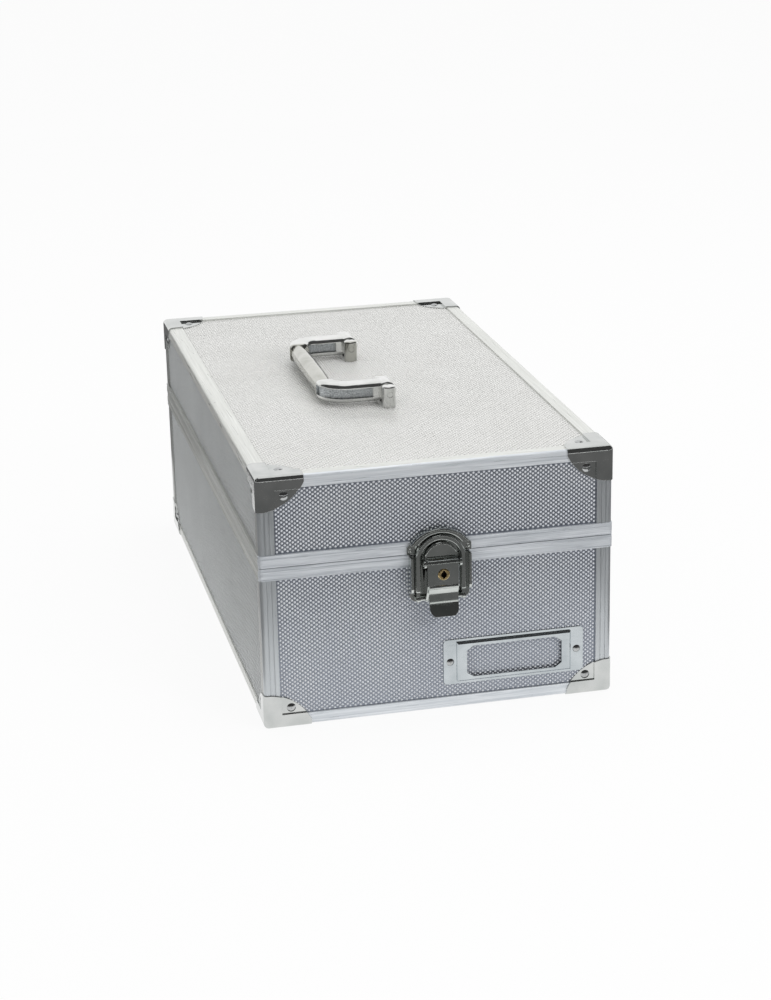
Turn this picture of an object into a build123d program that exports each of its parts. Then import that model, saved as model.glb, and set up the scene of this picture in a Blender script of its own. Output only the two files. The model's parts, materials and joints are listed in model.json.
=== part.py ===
from build123d import *

import math
import os

# Postcard storage case: boards with an embossed skin, held in trim profiles, with corner caps, a folding
# handle on the lid, a keyed draw latch in front and two butt hinges behind. Millimetres, +Z up, front at -Y.

# Case over its trims; the feet of the lower corner caps are at z = 0
WIDTH = 180.0
DEPTH = 320.0
HEIGHT = 132.0
SEAM_Z = 85.6
SEAM_GAP = 0.4

# Walls, from outside to inside: trim, skin, board, lining
TRIM_T = 1.0
SKIN_T = 0.5
BOARD_T = 3.0
LINING_T = 1.0
TRIM_LEG = 8.0
TRIM_DROP = 6.2
TRIM_R = 2.0
MITRE_KERF = 0.06
GROOVE_W = 0.4
GROOVE_DEEP = 0.25
GROOVE_STEP = 2.4

# Channel profile round the seam: a bead by the skin, a shallow band, a raised band, and a band by the seam
RIM_H = 6.3
RIM_PROUD = 0.5
RIM_LIP = 4.0
RIM_BEAD = 0.6
RIM_BAND = 1.3
RIM_SEAM_BAND = 1.5

# Corner caps: reach of each leg from the corner, and how far an outline bulges past a straight line
CAP_T = 0.6
CAP_REACH = 23.4
CAP_DROP = 17.5
CAP_SHANK = 3.2
CAP_FLAT_BULGE = 5.6
CAP_WALL_BULGE = 3.2
CAP_RIVET_IN = 13.4
CAP_RIVET_DOWN = 10.0

# Rivets
RIVET_HEAD_R = 2.3
RIVET_HEAD_H = 0.9
RIVET_SHANK_R = 1.1
RIVET_BITE = 2.0
FIT = 0.05

# Carrying handle, folded flat to the left at rest
HANDLE_SPAN = 95.4
HANDLE_REACH = 35.2
ARM_W = 10.7
ARM_H = 10.4
ARM_CORNER_R = 16.0
ARM_STUB = 1.0
ARM_EDGE_R = 2.6
EYE_EDGE_R = 0.8
GRIP_R = 4.4
GRIP_BELLY = 0.6
GRIP_BITE = 0.8
RECESS_DEEP = 1.3
RECESS_H = 5.2
RECESS_START = 7.4
RECESS_END = 1.5
PIVOT_UP = 7.3
POST_R = 3.65
POST_H = 11.6
POST_TOP_R = 0.9
POST_GAP = 0.3
FOOT_H = 1.4
FOOT_W = 6.3
HANDLE_PIN_R = 1.5
PIN_SHORT = 0.3
PIN_RUN = 0.08
SCREW_R = 1.3
SCREW_HEAD_R = 2.6
SCREW_BITE = 3.0

# Draw latch; "out" is the distance in front of the trims' face
PLATE_OUT = 1.7
SEAM_CLEAR = 0.1
LATCH_HALF_W = 15.4
BASE_LOW = 61.0
BASE_CORNER_R = 3.5
BASE_WALL_T = 1.2
BASE_WALL_OUT = 6.0
BASE_WALL_LOW = 66.0
BASE_WALL_R = 3.0
BASE_RIVET_X = 4.6
BASE_RIVET_UP = 4.5
BASE_RIVET_STEP = 7.0
LEVER_PIN_OUT = 8.3
LEVER_PIN_DROP = 2.8
LEVER_PIN_R = 0.9
KNUCKLE_R = 2.0
LEVER_HALF_W = 8.05
LEVER_T = 1.0
LEVER_BEVEL = 0.4
CHEEK_T = 1.15
CHEEK_TOP_Z = 78.8
CHEEK_TOP_OUT = 5.1
STEP_Z = 71.3
ROLL_R = 1.1
ROLL_DROP = 0.6
TONGUE_HALF_W = 7.4
TONGUE_TIP_Z = 55.4
TONGUE_TIP_OUT = 12.8
TONGUE_TIP_H = 0.6
TONGUE_WAIST_OUT = 9.8
TONGUE_WAIST_UP = 1.0
TONGUE_CORNER_R = 4.5
EAR_GAP = 0.45
EAR_T = 1.1
EAR_WEB_H = 2.6
EAR_WEB_DROP = 0.7
LOOP_PIN_OUT = 3.9
LOOP_PIN_Z = 62.9
LOOP_PIN_R = 1.0
LOOP_EYE_GAP = 0.4
LOOP_HALF_W = 12.9
LOOP_BAR_W = 2.7
LOOP_T = 2.6
LOOP_EDGE_R = 0.7
LOOP_TOP_Z = 96.0
LOOP_SHOULDER_Z = 66.6
LOOP_SHOULDER_R = 0.8
LOOP_TAB_W = 1.8
LOOP_END_R = 1.6
PIN_PROUD = 0.3
HOOK_OUT = 6.0
HOOK_HALF_W = 8.6
HOOK_EDGE_R = 1.0
HOOK_GAP = 0.8
HOOK_LIP_CLEAR = 0.4
KEEPER_HALF_W = 16.4
KEEPER_SHOULDER_Z = 91.0
KEEPER_SHOULDER_CUT = 1.2
KEEPER_TOP_Z = 99.0
RIDGE_OUT = 4.4
RIDGE_GAP = 0.5
RIDGE_EDGE_R = 0.9
RIDGE_UP = 0.3
KEEPER_RIVET_IN = 1.6
KEEPER_RIVET_UP = 2.4
LOCK_Z = 77.3
LOCK_R = 2.9
LOCK_OUT = 10.9
LOCK_BACK_OUT = 5.3
LOCK_EDGE = 0.35
LOCK_MARK_R = 0.4
LOCK_MARK_DROP = 3.9
LOCK_MARK_DEEP = 0.5
KEYHOLE_R = 1.5
KEYWAY_W = 1.1
KEYWAY_L = 4.2
KEYWAY_DEEP = 2.6
CAM_T = 0.8
CAM_W = 3.0
CAM_R = 2.4
CAM_REACH = 5.4
CATCH_GAP = 0.4
CATCH_T = 0.6
CATCH_LIP = 2.4
CATCH_LIP_T = 0.8
CATCH_HALF_H = 2.0
PLATE_RIVET_R = 1.0
PLATE_RIVET_HEAD_R = 1.15
PLATE_RIVET_HEAD_H = 0.15

# Card holder: its place from the right-hand side and the bottom, then its flanges, raised border and window
HOLDER_SIDE = 14.6
HOLDER_UP = 12.75
HOLDER_W = 73.4
HOLDER_H = 24.1
HOLDER_CORNER_R = 2.0
HOLDER_T = 0.6
HOLDER_FLANGE = 6.85
HOLDER_LEDGE = 1.55
HOLDER_RIVET_IN = 3.5
HOLDER_RIVET_R = 2.0
FRAME_OUT = 2.2
FRAME_BEVEL = 0.7
FRAME_WALL = 1.1
BORDER_SIDE = 4.95
BORDER_TOP = 2.15
WINDOW_CUT_X = 3.4
WINDOW_CUT_Z = 2.4

# Butt hinges
HINGE_X = 48.0
HINGE_W = 30.0
HINGE_LEAF_H = 23.0
HINGE_T = 1.2
HINGE_KNUCKLE_R = 2.4
HINGE_PIN_R = 1.2
HINGE_PIN_PROUD = 0.5
HINGE_CLEAR = 0.35
HINGE_SIDE_GAP = 0.3
HINGE_RIVET_U = 9.0
HINGE_RIVET_DOWN = 14.5

# Planes and levels that follow from the sizes above
half_w = WIDTH / 2
half_d = DEPTH / 2
base_z = CAP_T
top_z = HEIGHT
hinge_out = RIM_PROUD + HINGE_CLEAR + HINGE_KNUCKLE_R
mid_y = (TONGUE_TIP_OUT - hinge_out - HINGE_KNUCKLE_R) / 2
front_y = mid_y - half_d
back_y = mid_y + half_d
skin_in = TRIM_T + SKIN_T
board_in = skin_in + BOARD_T
lining_in = board_in + LINING_T
lid_rim_z = SEAM_Z + SEAM_GAP / 2
body_rim_z = SEAM_Z - SEAM_GAP / 2
rim_top = lid_rim_z + RIM_H
rim_low = body_rim_z - RIM_H

front = Plane(origin=(0, front_y, 0), x_dir=(1, 0, 0), z_dir=(0, -1, 0))
back = Plane(origin=(0, back_y, 0), x_dir=(-1, 0, 0), z_dir=(0, 1, 0))
left = Plane(origin=(-half_w, mid_y, 0), x_dir=(0, -1, 0), z_dir=(-1, 0, 0))
right = Plane(origin=(half_w, mid_y, 0), x_dir=(0, 1, 0), z_dir=(1, 0, 0))
top = Plane(origin=(0, mid_y, top_z), x_dir=(1, 0, 0), z_dir=(0, 0, 1))
bottom = Plane(origin=(0, mid_y, base_z), x_dir=(1, 0, 0), z_dir=(0, 0, -1))
walls = {"front": (front, half_w), "back": (back, half_w), "left": (left, half_d), "right": (right, half_d)}

# Section plane of the latch: its x runs out of the case, its y runs up
latch_side = Plane(origin=(0, front_y, 0), x_dir=(0, -1, 0), z_dir=(-1, 0, 0))


def save(name, part):
    """Labels a finished piece and writes it as the node of that name."""
    part.label = name
    export_step(part, f"parts/{name}.step")


def slab(x, y, z, mode=Mode.ADD):
    """A box between two limits on each axis."""
    with Locations(((x[0] + x[1]) / 2, (y[0] + y[1]) / 2, (z[0] + z[1]) / 2)):
        Box(x[1] - x[0], y[1] - y[0], z[1] - z[0], mode=mode)


def around(inset, z, mode=Mode.ADD):
    """A box as wide and deep as the case, less an inset on each side."""
    slab((inset - half_w, half_w - inset), (front_y + inset, back_y - inset), z, mode)


def ring(outer, inner, z):
    """A rectangular frame between two insets from the case's sides, as a tool for cuts."""
    with BuildPart() as tool:
        around(outer, z)
        around(inner, z, Mode.SUBTRACT)
    return tool.part


def drill(plane, spots, radius, depth, out=0.0):
    """Round holes into a face, starting a distance outside it."""
    with BuildSketch(plane.offset(out)) as holes:
        with Locations(*spots):
            Circle(radius)
    extrude(holes.sketch, amount=-depth - out, mode=Mode.SUBTRACT)


# Boards and skins

def wall_spots(half, level):
    """The two cap rivets near the corners of an upright wall."""
    return [(u, level) for u in (CAP_RIVET_IN - half, half - CAP_RIVET_IN)]


cap_spots = [(x, y) for x in (-half_w + CAP_RIVET_IN, half_w - CAP_RIVET_IN)
             for y in (-half_d + CAP_RIVET_IN, half_d - CAP_RIVET_IN)]


def wall_piece(name, plane, half, z, inset, thick, holes):
    with BuildPart() as piece:
        with BuildSketch(plane.offset(-inset)):
            with Locations((0, (z[0] + z[1]) / 2)):
                Rectangle(2 * half, z[1] - z[0])
        extrude(amount=-thick)
        for spots, radius in holes:
            drill(plane, spots, radius + FIT, board_in)
    save(name, piece.part)


def walls_of(body, board_z, skin_z, level, extra):
    """Four boards and four skins; the front and back boards stand between the side boards."""
    for side, (plane, half) in walls.items():
        board_half = half - board_in if side in ("front", "back") else half - skin_in
        holes = [(wall_spots(half, level), RIVET_SHANK_R)] + extra.get(side, [])
        wall_piece(f"{body}_{side}_panel", plane, board_half, board_z, skin_in, BOARD_T, holes)
        wall_piece(f"{body}_{side}_skin", plane, half - skin_in, skin_z, TRIM_T, SKIN_T, holes)


def flat_piece(plane, inset, thick, holes):
    with BuildPart() as piece:
        with BuildSketch(plane.offset(-inset)):
            Rectangle(WIDTH - 2 * skin_in, DEPTH - 2 * skin_in)
        extrude(amount=-thick)
        for spots, radius in holes:
            drill(plane, spots, radius + FIT, board_in)
    return piece.part


# Trim profiles

def mitre(inset, z):
    """Saw cuts at 45 degrees that part a frame into its four lengths."""
    length = 2 * math.hypot(inset + TRIM_LEG, inset + TRIM_LEG) + 2
    for sx in (-1, 1):
        for sy in (-1, 1):
            spot = (sx * half_w, mid_y + sy * half_d, (z[0] + z[1]) / 2)
            with Locations(Location(spot, (0, 0, 45 * sx * sy))):
                Box(length, MITRE_KERF, z[1] - z[0] + 1, mode=Mode.SUBTRACT)


def edge_trims(name, z, at_top):
    """Angle profiles along the four edges of the lid's top or the body's bottom."""
    outer_z = z[1] if at_top else z[0]
    hollow_z = (z[0] - 1, z[1] - TRIM_T) if at_top else (z[0] + TRIM_T, z[1] + 1)
    with BuildPart() as piece:
        around(0, z)
        levels = piece.edges().group_by(Axis.Z)
        rim = levels[-1] if at_top else levels[0]
        fillet(piece.edges().filter_by(Axis.Z) + rim, TRIM_R)
        around(TRIM_T, hollow_z, Mode.SUBTRACT)
        around(TRIM_LEG, (outer_z - 2 * TRIM_T, outer_z + 2 * TRIM_T), Mode.SUBTRACT)
        mitre(0, z)
    save(name, piece.part)


def corner_trims(name, z):
    """Upright angle profiles at the four corners, each leg with two fine grooves."""
    with BuildPart() as piece:
        around(0, z)
        fillet(piece.edges().filter_by(Axis.Z), TRIM_R)
        around(TRIM_T, z, Mode.SUBTRACT)
        slab((TRIM_LEG - half_w, half_w - TRIM_LEG), (front_y - 1, back_y + 1), z, Mode.SUBTRACT)
        slab((-half_w - 1, half_w + 1), (front_y + TRIM_LEG, back_y - TRIM_LEG), z, Mode.SUBTRACT)
        for plane, half in walls.values():
            across = [s * (half - TRIM_R - n * GROOVE_STEP) for s in (-1, 1) for n in (0.5, 1.5)]
            with BuildSketch(plane):
                with Locations(*[(u, (z[0] + z[1]) / 2) for u in across]):
                    Rectangle(GROOVE_W, z[1] - z[0])
            extrude(amount=-GROOVE_DEEP, mode=Mode.SUBTRACT)
    save(name, piece.part)


def rim_trims(name, z, opens_up, holes):
    """Channel profiles that cap the boards at the seam."""
    if opens_up:
        channel = (z[0] + TRIM_T, z[1] + 1)
        past_lip = (z[0] + RIM_LIP, z[1] + 1)
        by_skin = (z[1] - RIM_BEAD - RIM_BAND, z[1] - RIM_BEAD)
        by_seam = (z[0] - 1, z[0] + RIM_SEAM_BAND)
    else:
        channel = (z[0] - 1, z[1] - TRIM_T)
        past_lip = (z[0] - 1, z[1] - RIM_LIP)
        by_skin = (z[0] + RIM_BEAD, z[0] + RIM_BEAD + RIM_BAND)
        by_seam = (z[1] - RIM_SEAM_BAND, z[1] + 1)
    cuts = [ring(TRIM_T, board_in, channel)]
    for band in (by_skin, by_seam):
        cuts.append(ring(-RIM_PROUD - 1, GROOVE_DEEP - RIM_PROUD, band))
    with BuildPart() as piece:
        around(-RIM_PROUD, z)
        fillet(piece.edges().filter_by(Axis.Z), TRIM_R + RIM_PROUD)
        around(lining_in, (z[0] - 1, z[1] + 1), Mode.SUBTRACT)
        around(board_in - FIT, past_lip, Mode.SUBTRACT)
        for cut in cuts:
            add(cut, mode=Mode.SUBTRACT)
        for spots, radius in holes:
            drill(front, spots, radius + FIT, 2 * TRIM_T, 2 * RIM_PROUD)
        mitre(RIM_PROUD, z)
    save(name, piece.part)


# Corner caps, drawn for a corner at the origin with the case on the negative side of every axis

def cap_outline(plane, reach_y, bulge):
    """Outline of the cap on one face: straight by the case's edges, joined by one bulging arc."""
    a = (-CAP_REACH, -CAP_SHANK)
    b = (-CAP_SHANK, -reach_y)
    chord = math.hypot(a[0] - b[0], a[1] - b[1])
    away_x = (b[1] - a[1]) / chord
    away_y = (a[0] - b[0]) / chord
    crest = ((a[0] + b[0]) / 2 + bulge * away_x, (a[1] + b[1]) / 2 + bulge * away_y)
    with BuildSketch(plane) as outline:
        with BuildLine():
            Polyline(b, (CAP_T, -reach_y), (CAP_T, CAP_T), (-CAP_REACH, CAP_T), a)
            ThreePointArc(a, crest, b)
        make_face()
    return outline.sketch


def corner_shape(grow):
    """The trims at one corner, with the walls behind them, grown outwards by an amount."""
    reach = 2 * CAP_REACH
    leg = TRIM_LEG + grow
    drop = TRIM_DROP + grow
    inner = grow - TRIM_T
    with BuildPart() as bars:
        slab((-reach, grow), (-leg, grow), (-drop, grow))
        slab((-leg, grow), (-reach, grow), (-drop, grow))
        slab((-leg, grow), (-leg, grow), (-reach, grow))
    with BuildPart() as shape:
        slab((-reach, grow), (-reach, grow), (-reach, grow))
        near = [e for e in shape.edges() if min(e @ 0.5) > -reach + 1]
        fillet(near, TRIM_R + grow)
        add(bars.part, mode=Mode.INTERSECT)
        slab((-reach, inner), (-reach, inner), (-reach, inner))
    return shape.part


def cap_shape():
    flat = Plane(origin=(0, 0, -TRIM_T), x_dir=(1, 0, 0), z_dir=(0, 0, 1))
    side = Plane(origin=(-TRIM_T, 0, 0), x_dir=(0, 1, 0), z_dir=(1, 0, 0))
    face = Plane(origin=(0, -TRIM_T, 0), x_dir=(-1, 0, 0), z_dir=(0, 1, 0))
    thick = TRIM_T + CAP_T
    outer = corner_shape(CAP_T)
    inner = corner_shape(0.0)
    top_outline = cap_outline(flat, CAP_REACH, CAP_FLAT_BULGE)
    side_outline = cap_outline(side, CAP_DROP, CAP_WALL_BULGE)
    face_outline = mirror(side_outline, about=Plane(origin=(0, 0, 0), z_dir=(1, -1, 0)), mode=Mode.PRIVATE)
    with BuildPart() as cap:
        extrude(top_outline, amount=thick)
        extrude(side_outline, amount=thick)
        extrude(face_outline, amount=thick, dir=(0, 1, 0))
        add(outer, mode=Mode.INTERSECT)
        add(inner, mode=Mode.SUBTRACT)
        drill(flat, [(-CAP_RIVET_IN, -CAP_RIVET_IN)], RIVET_SHANK_R + FIT, thick, thick)
        drill(side, [(-CAP_RIVET_IN, -CAP_RIVET_DOWN)], RIVET_SHANK_R + FIT, thick, thick)
        drill(face, [(CAP_RIVET_IN, -CAP_RIVET_DOWN)], RIVET_SHANK_R + FIT, thick, thick)
    return cap.part


def caps_of(body, level, upside_down):
    """Four caps at the corners of the lid's top, or turned over at the body's bottom."""
    shape = cap_shape()
    if upside_down:
        shape = mirror(shape, about=Plane.XY, mode=Mode.PRIVATE)
    for end, sy in (("front", -1), ("back", 1)):
        for hand, sx in (("left", -1), ("right", 1)):
            piece = shape
            if sx < 0:
                piece = mirror(piece, about=Plane.YZ, mode=Mode.PRIVATE)
            if sy < 0:
                piece = mirror(piece, about=Plane.XZ, mode=Mode.PRIVATE)
            with BuildPart() as placed:
                with Locations((sx * half_w, mid_y + sy * half_d, level)):
                    add(piece)
            save(f"{body}_cap_{end}_{hand}", placed.part)


# Rivets, drawn with the head above the XY plane

def rivet_shape(head_r, head_h, shank_r, grip):
    dome_r = (head_r ** 2 + head_h ** 2) / (2 * head_h)
    spread = math.degrees(math.asin(head_r / dome_r))
    with BuildPart() as rivet:
        with BuildSketch(Plane.XZ):
            with BuildLine():
                CenterArc((0, head_h - dome_r), dome_r, 90 - spread, spread)
                Polyline((0, head_h), (0, -grip), (shank_r, -grip), (shank_r, 0), (head_r, 0))
            make_face()
        revolve(axis=Axis.Z)
    return rivet.part


def rivets(name, sets):
    """One rivet shape at every spot of every (shape, plane, spots) set."""
    with BuildPart() as group:
        for shape, plane, spots in sets:
            with Locations(plane):
                with Locations(*spots):
                    add(shape)
    save(name, group.part)


def cap_rivets(body, level, flat):
    shape = rivet_shape(RIVET_HEAD_R, RIVET_HEAD_H, RIVET_SHANK_R, CAP_T + SKIN_T + RIVET_BITE)
    sets = [(shape, plane.offset(CAP_T - TRIM_T), wall_spots(half, level)) for plane, half in walls.values()]
    sets.append((shape, flat.offset(CAP_T - TRIM_T), cap_spots))
    rivets(f"{body}_cap_rivets", sets)


# Carrying handle

lid_skin_z = top_z - TRIM_T
pivot_z = lid_skin_z + PIVOT_UP
pivot_y = HANDLE_SPAN / 2
post_step = ARM_W / 2 + POST_GAP + POST_R
post_spots = [(0, s * pivot_y + e * post_step) for s in (-1, 1) for e in (-1, 1)]
eye_spots = [(0, mid_y - pivot_y, pivot_z), (0, mid_y + pivot_y, pivot_z)]
grip_x = GRIP_R + GRIP_BELLY - HANDLE_REACH
arm_end = pivot_y + ARM_W / 2 - ARM_CORNER_R - ARM_STUB


def arm_outline(inset):
    """Plan outline of the folded handle's arms with their bends, drawn in at the sides by an inset."""
    outer = pivot_y + ARM_W / 2 - inset
    inner = pivot_y - ARM_W / 2 + inset
    far = inset - HANDLE_REACH
    near = ARM_W - HANDLE_REACH - inset
    with BuildSketch(Plane.XY) as outline:
        for side in (-1, 1):
            with BuildLine():
                FilletPolyline((0, side * outer), (far, side * outer), (far, side * arm_end),
                               radius=ARM_CORNER_R - inset)
                Line((far, side * arm_end), (near, side * arm_end))
                FilletPolyline((near, side * arm_end), (near, side * inner), (0, side * inner),
                               radius=ARM_CORNER_R - ARM_W + inset)
                Line((0, side * inner), (0, side * outer))
            make_face()
    return outline.sketch


def handle_eye():
    with BuildPart() as eye:
        Cylinder(ARM_H / 2, ARM_W, rotation=(90, 0, 0))
        fillet(eye.edges().filter_by(GeomType.CIRCLE), EYE_EDGE_R)
    return eye.part


def grip_barrel():
    """Round grip with a slight belly, which runs a little way into both bends."""
    half = arm_end + GRIP_BITE
    with BuildPart() as barrel:
        with BuildSketch(Plane((grip_x, mid_y, pivot_z))):
            with BuildLine():
                Polyline((GRIP_R, half), (0, half), (0, -half), (GRIP_R, -half))
                ThreePointArc((GRIP_R, -half), (GRIP_R + GRIP_BELLY, 0), (GRIP_R, half))
            make_face()
        revolve(axis=Axis((grip_x, mid_y, pivot_z), (0, 1, 0)))
    return barrel.part


def arm_recesses():
    """Shallow pockets along both sides of each arm and round its bend, as a tool for the cut."""
    past_sides = arm_outline(-RECESS_DEEP)
    core = arm_outline(RECESS_DEEP)
    with BuildPart() as pockets:
        with BuildSketch(Plane((0, mid_y, pivot_z - RECESS_H / 2))):
            add(past_sides)
            add(core, mode=Mode.SUBTRACT)
            Rectangle(2 * RECESS_START, 2 * HANDLE_SPAN, mode=Mode.SUBTRACT)
            Rectangle(3 * HANDLE_REACH, 2 * (arm_end + RECESS_END), mode=Mode.SUBTRACT)
        extrude(amount=RECESS_H)
    return pockets.part


def handle():
    plan = arm_outline(0.0)
    eye = handle_eye()
    barrel = grip_barrel()
    pockets = arm_recesses()
    with BuildPart() as piece:
        with BuildSketch(Plane((0, mid_y, pivot_z - ARM_H / 2))):
            add(plan)
        extrude(amount=ARM_H)
        levels = piece.edges().group_by(Axis.Z)
        fillet(levels[0] + levels[-1], ARM_EDGE_R)
        with Locations(*eye_spots):
            add(eye)
        add(barrel)
        add(pockets, mode=Mode.SUBTRACT)
        with Locations(*eye_spots):
            Cylinder(HANDLE_PIN_R + PIN_RUN, 2 * ARM_W, rotation=(90, 0, 0), mode=Mode.SUBTRACT)
    save("handle", piece.part)


def handle_mounts():
    """Two castings, each a pair of round posts on one foot, with the arm's eye between the posts."""
    floor = Plane((0, mid_y, lid_skin_z))
    with BuildPart() as piece:
        with BuildSketch(floor):
            with Locations(*post_spots):
                Circle(POST_R)
        extrude(amount=POST_H)
        fillet(piece.edges().filter_by(GeomType.CIRCLE).group_by(Axis.Z)[-1], POST_TOP_R)
        with BuildSketch(floor):
            with Locations((0, pivot_y), (0, -pivot_y)):
                Rectangle(FOOT_W, 2 * post_step)
        extrude(amount=FOOT_H)
        with Locations(*eye_spots):
            Cylinder(HANDLE_PIN_R + FIT, 4 * post_step, rotation=(90, 0, 0), mode=Mode.SUBTRACT)
        with BuildSketch(floor):
            with Locations(*post_spots):
                Circle(SCREW_R + FIT)
        extrude(amount=SCREW_BITE, mode=Mode.SUBTRACT)
    save("handle_mounts", piece.part)


def handle_pins():
    with BuildPart() as piece:
        with Locations(*eye_spots):
            Cylinder(HANDLE_PIN_R, 2 * (post_step + POST_R - PIN_SHORT), rotation=(90, 0, 0))
    save("handle_pins", piece.part)


def screw_shape(loose):
    """Countersunk screw with its head's face on the XY plane, or the room for one when loose."""
    head_h = SCREW_HEAD_R - SCREW_R
    with BuildPart() as screw:
        with BuildSketch(Plane.XZ):
            with BuildLine():
                Polyline((0, 0), (SCREW_HEAD_R + loose, 0), (SCREW_R + loose, head_h),
                         (SCREW_R + loose, BOARD_T + SKIN_T + SCREW_BITE), (0, BOARD_T + SKIN_T + SCREW_BITE),
                         close=True)
            make_face()
        revolve(axis=Axis.Z)
    return screw.part


inside_lid = Plane((0, mid_y, top_z - board_in))


def handle_screws():
    rivets("handle_screws", [(screw_shape(0.0), inside_lid, post_spots)])


def lid_top():
    room = screw_shape(FIT)
    cap_holes = (cap_spots, RIVET_SHANK_R)
    save("lid_top_skin", flat_piece(top, TRIM_T, SKIN_T, [cap_holes, (post_spots, SCREW_R)]))
    board = flat_piece(top, skin_in, BOARD_T, [cap_holes])
    with BuildPart() as piece:
        add(board)
        with Locations(inside_lid):
            with Locations(*post_spots):
                add(room, mode=Mode.SUBTRACT)
    save("lid_top_panel", piece.part)


# Linings, thin trays inside the lid and the body

def lining(name, z, floor_at_top):
    room = (z[0] - 1, z[1] - LINING_T) if floor_at_top else (z[0] + LINING_T, z[1] + 1)
    with BuildPart() as piece:
        around(board_in, z)
        around(lining_in, room, Mode.SUBTRACT)
    save(name, piece.part)


# Draw latch: keeper on the lid

lever_pin_z = body_rim_z - LEVER_PIN_DROP
loop_arc_z = LOOP_TOP_Z - LOOP_HALF_W
hook_top_z = LOOP_TOP_Z - LOOP_BAR_W - HOOK_GAP
hook_low = hook_top_z - HOOK_HALF_W
keeper_low = lid_rim_z + SEAM_CLEAR
keeper_spots = [(s * (KEEPER_HALF_W - KEEPER_RIVET_IN), lid_rim_z + KEEPER_RIVET_UP) for s in (-1, 1)]


def keeper_outline():
    edge = KEEPER_HALF_W
    cheek = KEEPER_HALF_W - KEEPER_SHOULDER_CUT
    with BuildSketch(Plane.XY) as outline:
        with BuildLine():
            Polyline((-cheek, KEEPER_SHOULDER_Z), (-edge, KEEPER_SHOULDER_Z - KEEPER_SHOULDER_CUT),
                     (-edge, keeper_low), (edge, keeper_low),
                     (edge, KEEPER_SHOULDER_Z - KEEPER_SHOULDER_CUT), (cheek, KEEPER_SHOULDER_Z))
            ThreePointArc((cheek, KEEPER_SHOULDER_Z), (0, KEEPER_TOP_Z), (-cheek, KEEPER_SHOULDER_Z))
        make_face()
    return outline.sketch


def ridge_outline(plate):
    """Crescent between the keeper's outline and the loop, above the shoulders."""
    with BuildSketch(Plane.XY) as outline:
        add(plate)
        with Locations((0, loop_arc_z)):
            Circle(LOOP_HALF_W + RIDGE_GAP, mode=Mode.SUBTRACT)
        with Locations((0, KEEPER_SHOULDER_Z + RIDGE_UP - KEEPER_HALF_W)):
            Rectangle(4 * KEEPER_HALF_W, 2 * KEEPER_HALF_W, mode=Mode.SUBTRACT)
    return outline.sketch


def hook_boss():
    """Dome that the loop hooks over, with a rounded rim and a lip that hangs in front of the base plate."""
    lip_face = front_y - PLATE_OUT - HOOK_LIP_CLEAR
    with BuildPart() as boss:
        with BuildSketch(front.offset(RIM_PROUD)):
            with Locations((0, hook_low)):
                Circle(HOOK_HALF_W)
            with Locations((0, hook_low - HOOK_HALF_W)):
                Rectangle(4 * HOOK_HALF_W, 2 * HOOK_HALF_W, mode=Mode.SUBTRACT)
        extrude(amount=HOOK_OUT - RIM_PROUD)
        fillet(boss.edges().filter_by(GeomType.CIRCLE).sort_by(Axis.Y)[0], HOOK_EDGE_R)
        slab((-LATCH_HALF_W, LATCH_HALF_W), (lip_face, front_y), (BASE_LOW, keeper_low), Mode.SUBTRACT)
    return boss.part


def latch_keeper():
    """Plate on the lid with the hook boss in its middle and a rounded ridge arching over the loop."""
    plate = keeper_outline()
    crescent = ridge_outline(plate)
    boss = hook_boss()
    with BuildPart() as piece:
        with BuildSketch(front.offset(-TRIM_T)):
            add(plate)
        extrude(amount=PLATE_OUT + TRIM_T)
        around(-RIM_PROUD, (keeper_low - 1, rim_top + FIT), Mode.SUBTRACT)
        with BuildSketch(front.offset(PLATE_OUT)):
            add(crescent)
        extrude(amount=RIDGE_OUT - PLATE_OUT)
        crown = piece.faces().filter_by(Axis.Y).sort_by(Axis.Y)[0]
        fillet(crown.edges().filter_by(GeomType.CIRCLE), RIDGE_EDGE_R)
        add(boss)
        drill(front, keeper_spots, PLATE_RIVET_R + FIT, 2 * TRIM_T, 2 * PLATE_OUT)
    save("latch_keeper", piece.part)


# Draw latch: base plate on the body

base_high = body_rim_z - SEAM_CLEAR
ear_in = LEVER_HALF_W + EAR_GAP
ear_out = ear_in + EAR_T
base_spots = [(s * BASE_RIVET_X, BASE_LOW + BASE_RIVET_UP + n * BASE_RIVET_STEP)
              for s in (-1, 1) for n in (0, 1)]
lip_out = LOCK_BACK_OUT + CATCH_GAP
catch_in = CAM_REACH + CATCH_T


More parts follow.
